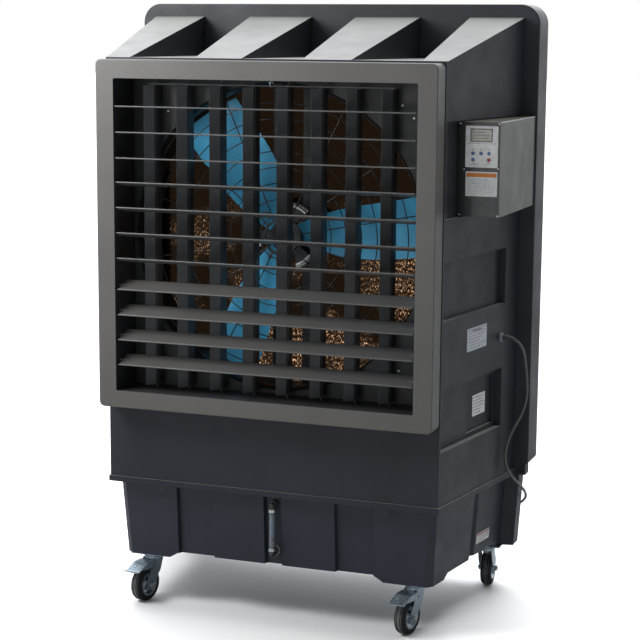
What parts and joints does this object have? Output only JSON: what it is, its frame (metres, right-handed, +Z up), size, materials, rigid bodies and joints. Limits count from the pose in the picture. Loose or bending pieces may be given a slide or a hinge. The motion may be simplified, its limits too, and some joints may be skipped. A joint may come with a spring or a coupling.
{
  "type": "evaporative cooler",
  "caption": "Portable evaporative cooler: flared housing on a castored water tank, louvred air outlet, axial fan, wet pad and side control box.",
  "frame": {"origin": "on the floor, under the middle of the cooler's box without its cord", "axes": "+Z up, +X to the right of a person facing the air outlet, +Y from the outlet to the wet pad"},
  "size_m": [1.234, 0.8555, 1.713],
  "materials": {
    "housing_plastic": "moulded polyethylene, charcoal, fine texture",
    "tank_plastic": "moulded polyethylene, dark blue-grey charcoal",
    "bezel_plastic": "injection moulded ABS, warm mid grey satin",
    "duct_plastic": "injection moulded, dark grey",
    "louvre_plastic": "extruded plastic, grey satin",
    "vane_plastic": "injection moulded, grey satin",
    "shroud_plastic": "moulded, black",
    "wire_steel": "black coated wire",
    "fan_blue": "glass-filled nylon, bright blue",
    "motor_paint": "black painted cast housing",
    "dark_steel": "black painted",
    "zinc_steel": "zinc plated pressed steel",
    "brass_fitting": "turned brass",
    "white_plastic": "white PVC",
    "pad_cellulose": "corrugated cellulose, brown",
    "gauge_clear": "clear acrylic tube",
    "float_red": "red float",
    "box_plastic": "painted olive-grey case with black front",
    "gland_plastic": "black nylon",
    "cord_pvc": "grey-black PVC sheath",
    "button_blue": "blue key",
    "button_red": "red key",
    "tyre_rubber": "black rubber tyre on pressed zinc rim"
  },
  "bodies": {
    "cooler": {"water_tank": "tank_plastic", "water_fittings": "white_plastic", "body_shell": "housing_plastic", "front_bezel": "bezel_plastic", "outlet_duct": "duct_plastic", "swing_motor": "dark_steel", "fan_shroud": "shroud_plastic", "fan_guard": "wire_steel", "fan_motor": "motor_paint", "rear_frame": "housing_plastic", "cooling_pad": "pad_cellulose", "rear_grille": "bezel_plastic", "water_pump": "dark_steel", "water_pipework": "white_plastic", "level_gauge": "gauge_clear", "control_box": "box_plastic", "castor_plates": "zinc_steel", "cord_gland": "gland_plastic", "power_cord": "cord_pvc", "cord_coil": "cord_pvc", "cord_plug": "gland_plastic"},
    "float_valve_arm": {"float_valve_arm": "brass_fitting"},
    "louvre_01": {"louvre_01": "louvre_plastic"},
    "louvre_02": {"louvre_02": "louvre_plastic"},
    "louvre_03": {"louvre_03": "louvre_plastic"},
    "louvre_04": {"louvre_04": "louvre_plastic"},
    "louvre_05": {"louvre_05": "louvre_plastic"},
    "louvre_06": {"louvre_06": "louvre_plastic"},
    "louvre_07": {"louvre_07": "louvre_plastic"},
    "louvre_08": {"louvre_08": "louvre_plastic"},
    "louvre_09": {"louvre_09": "louvre_plastic"},
    "louvre_10": {"louvre_10": "louvre_plastic"},
    "louvre_11": {"louvre_11": "louvre_plastic"},
    "vane_1": {"vane_1": "vane_plastic"},
    "vane_2": {"vane_2": "vane_plastic"},
    "vane_3": {"vane_3": "vane_plastic"},
    "vane_4": {"vane_4": "vane_plastic"},
    "vane_5": {"vane_5": "vane_plastic"},
    "vane_6": {"vane_6": "vane_plastic"},
    "vane_7": {"vane_7": "vane_plastic"},
    "vane_8": {"vane_8": "vane_plastic"},
    "tie_bar": {"tie_bar": "vane_plastic"},
    "swing_crank": {"swing_crank": "zinc_steel"},
    "fan_impeller": {"fan_impeller": "fan_blue"},
    "gauge_float": {"gauge_float": "float_red"},
    "button_1": {"button_1": "button_blue"},
    "button_2": {"button_2": "button_blue"},
    "button_3": {"button_3": "button_blue"},
    "button_4": {"button_4": "button_blue"},
    "button_power": {"button_power": "button_red"},
    "fork_front_left": {"fork_front_left": "zinc_steel"},
    "wheel_front_left": {"wheel_front_left": "tyre_rubber"},
    "pedal_front_left": {"pedal_front_left": "zinc_steel"},
    "fork_front_right": {"fork_front_right": "zinc_steel"},
    "wheel_front_right": {"wheel_front_right": "tyre_rubber"},
    "pedal_front_right": {"pedal_front_right": "zinc_steel"},
    "fork_rear_left": {"fork_rear_left": "zinc_steel"},
    "wheel_rear_left": {"wheel_rear_left": "tyre_rubber"},
    "fork_rear_right": {"fork_rear_right": "zinc_steel"},
    "wheel_rear_right": {"wheel_rear_right": "tyre_rubber"}
  },
  "joints": [
    {"name": "float_valve", "type": "hinge", "parent": "cooler", "child": "float_valve_arm", "pos_m": [-0.54, 0.286, 0.3], "axis": [0, 1, 0], "range_deg": [-4, 28]},
    {"name": "louvre_01_tilt", "type": "hinge", "parent": "cooler", "child": "louvre_01", "pos_m": [0, -0.317, 1.427], "axis": [1, 0, 0], "range_deg": [-36, 44]},
    {"name": "louvre_02_tilt", "type": "hinge", "parent": "cooler", "child": "louvre_02", "pos_m": [0, -0.317, 1.3568], "axis": [1, 0, 0], "range_deg": [-36, 44]},
    {"name": "louvre_03_tilt", "type": "hinge", "parent": "cooler", "child": "louvre_03", "pos_m": [0, -0.317, 1.2866], "axis": [1, 0, 0], "range_deg": [-36, 44]},
    {"name": "louvre_04_tilt", "type": "hinge", "parent": "cooler", "child": "louvre_04", "pos_m": [0, -0.317, 1.2164], "axis": [1, 0, 0], "range_deg": [-26, 54]},
    {"name": "louvre_05_tilt", "type": "hinge", "parent": "cooler", "child": "louvre_05", "pos_m": [0, -0.317, 1.1462], "axis": [1, 0, 0], "range_deg": [-25, 55]},
    {"name": "louvre_06_tilt", "type": "hinge", "parent": "cooler", "child": "louvre_06", "pos_m": [0, -0.317, 1.076], "axis": [1, 0, 0], "range_deg": [-24, 56]},
    {"name": "louvre_07_tilt", "type": "hinge", "parent": "cooler", "child": "louvre_07", "pos_m": [0, -0.317, 1.0058], "axis": [1, 0, 0], "range_deg": [-24, 56]},
    {"name": "louvre_08_tilt", "type": "hinge", "parent": "cooler", "child": "louvre_08", "pos_m": [0, -0.317, 0.9356], "axis": [1, 0, 0], "range_deg": [-65, 15]},
    {"name": "louvre_09_tilt", "type": "hinge", "parent": "cooler", "child": "louvre_09", "pos_m": [0, -0.317, 0.8654], "axis": [1, 0, 0], "range_deg": [-68, 12]},
    {"name": "louvre_10_tilt", "type": "hinge", "parent": "cooler", "child": "louvre_10", "pos_m": [0, -0.317, 0.7952], "axis": [1, 0, 0], "range_deg": [-68, 12]},
    {"name": "louvre_11_tilt", "type": "hinge", "parent": "cooler", "child": "louvre_11", "pos_m": [0, -0.317, 0.725], "axis": [1, 0, 0], "range_deg": [-68, 12]},
    {"name": "vane_1_swing", "type": "hinge", "parent": "cooler", "child": "vane_1", "pos_m": [-0.348, -0.252, 1], "axis": [0, 0, 1], "range_deg": [-22, 22]},
    {"name": "vane_2_swing", "type": "hinge", "parent": "cooler", "child": "vane_2", "pos_m": [-0.25, -0.252, 1], "axis": [0, 0, 1], "range_deg": [-22, 22]},
    {"name": "vane_3_swing", "type": "hinge", "parent": "cooler", "child": "vane_3", "pos_m": [-0.152, -0.252, 1], "axis": [0, 0, 1], "range_deg": [-22, 22]},
    {"name": "vane_4_swing", "type": "hinge", "parent": "cooler", "child": "vane_4", "pos_m": [-0.054, -0.252, 1], "axis": [0, 0, 1], "range_deg": [-22, 22]},
    {"name": "vane_5_swing", "type": "hinge", "parent": "cooler", "child": "vane_5", "pos_m": [0.044, -0.252, 1], "axis": [0, 0, 1], "range_deg": [-22, 22]},
    {"name": "vane_6_swing", "type": "hinge", "parent": "cooler", "child": "vane_6", "pos_m": [0.142, -0.252, 1], "axis": [0, 0, 1], "range_deg": [-22, 22]},
    {"name": "vane_7_swing", "type": "hinge", "parent": "cooler", "child": "vane_7", "pos_m": [0.24, -0.252, 1], "axis": [0, 0, 1], "range_deg": [-22, 22]},
    {"name": "vane_8_swing", "type": "hinge", "parent": "cooler", "child": "vane_8", "pos_m": [0.338, -0.252, 1], "axis": [0, 0, 1], "range_deg": [-22, 22]},
    {"name": "tie_bar_slide", "type": "slide", "parent": "cooler", "child": "tie_bar", "axis": [1, 0, 0], "range_m": [-0.005, 0.005]},
    {"name": "crank_turn", "type": "hinge", "parent": "cooler", "child": "swing_crank", "pos_m": [-0.005, -0.252, 1.495], "axis": [0, 0, 1], "range_deg": [-22, 22]},
    {"name": "fan_spin", "type": "hinge", "parent": "cooler", "child": "fan_impeller", "pos_m": [0, -0.145, 1.075], "axis": [0, 1, 0], "continuous": true},
    {"name": "level_float", "type": "slide", "parent": "cooler", "child": "gauge_float", "axis": [0, 0, 1], "range_m": [-0.01, 0.072]},
    {"name": "button_1_press", "type": "slide", "parent": "cooler", "child": "button_1", "axis": [0, 1, 0], "range_m": [0, 0.0008], "stiffness_N_per_m": 400},
    {"name": "button_2_press", "type": "slide", "parent": "cooler", "child": "button_2", "axis": [0, 1, 0], "range_m": [0, 0.0008], "stiffness_N_per_m": 400},
    {"name": "button_3_press", "type": "slide", "parent": "cooler", "child": "button_3", "axis": [0, 1, 0], "range_m": [0, 0.0008], "stiffness_N_per_m": 400},
    {"name": "button_4_press", "type": "slide", "parent": "cooler", "child": "button_4", "axis": [0, 1, 0], "range_m": [0, 0.0008], "stiffness_N_per_m": 400},
    {"name": "button_power_press", "type": "slide", "parent": "cooler", "child": "button_power", "axis": [0, 1, 0], "range_m": [0, 0.0008], "stiffness_N_per_m": 400},
    {"name": "front_left_swivel", "type": "hinge", "parent": "cooler", "child": "fork_front_left", "pos_m": [-0.398, -0.185, 0.122], "axis": [0, 0, 1], "continuous": true},
    {"name": "front_left_roll", "type": "hinge", "parent": "fork_front_left", "child": "wheel_front_left", "pos_m": [-0.407, -0.22398, 0.05], "axis": [0.9744, -0.225, 0], "continuous": true},
    {"name": "front_left_brake", "type": "hinge", "parent": "fork_front_left", "child": "pedal_front_left", "pos_m": [-0.4016, -0.20059, 0.106], "axis": [0.9744, -0.225, 0], "range_deg": [0, 10]},
    {"name": "front_right_swivel", "type": "hinge", "parent": "cooler", "child": "fork_front_right", "pos_m": [0.398, -0.185, 0.122], "axis": [0, 0, 1], "continuous": true},
    {"name": "front_right_roll", "type": "hinge", "parent": "fork_front_right", "child": "wheel_front_right", "pos_m": [0.389, -0.22398, 0.05], "axis": [0.9744, -0.225, 0], "continuous": true},
    {"name": "front_right_brake", "type": "hinge", "parent": "fork_front_right", "child": "pedal_front_right", "pos_m": [0.3944, -0.20059, 0.106], "axis": [0.9744, -0.225, 0], "range_deg": [0, 10]},
    {"name": "rear_left_swivel", "type": "hinge", "parent": "cooler", "child": "fork_rear_left", "pos_m": [-0.485, 0.251, 0.122], "axis": [0, 0, 1], "continuous": true},
    {"name": "rear_left_roll", "type": "hinge", "parent": "fork_rear_left", "child": "wheel_rear_left", "pos_m": [-0.48221, 0.2909, 0.05], "axis": [-0.9976, 0.0698, 0], "continuous": true},
    {"name": "rear_right_swivel", "type": "hinge", "parent": "cooler", "child": "fork_rear_right", "pos_m": [0.485, 0.251, 0.122], "axis": [0, 0, 1], "continuous": true},
    {"name": "rear_right_roll", "type": "hinge", "parent": "fork_rear_right", "child": "wheel_rear_right", "pos_m": [0.48221, 0.2909, 0.05], "axis": [-0.9976, -0.0698, 0], "continuous": true}
  ],
  "couplings": [
    {"joint": "vane_2_swing", "follows": "vane_1_swing", "ratio": 1},
    {"joint": "vane_3_swing", "follows": "vane_1_swing", "ratio": 1},
    {"joint": "vane_4_swing", "follows": "vane_1_swing", "ratio": 1},
    {"joint": "vane_5_swing", "follows": "vane_1_swing", "ratio": 1},
    {"joint": "vane_6_swing", "follows": "vane_1_swing", "ratio": 1},
    {"joint": "vane_7_swing", "follows": "vane_1_swing", "ratio": 1},
    {"joint": "vane_8_swing", "follows": "vane_1_swing", "ratio": 1},
    {"joint": "tie_bar_slide", "follows": "vane_1_swing", "m_per_rad": 0.012},
    {"joint": "crank_turn", "follows": "vane_1_swing", "ratio": 1}
  ]
}
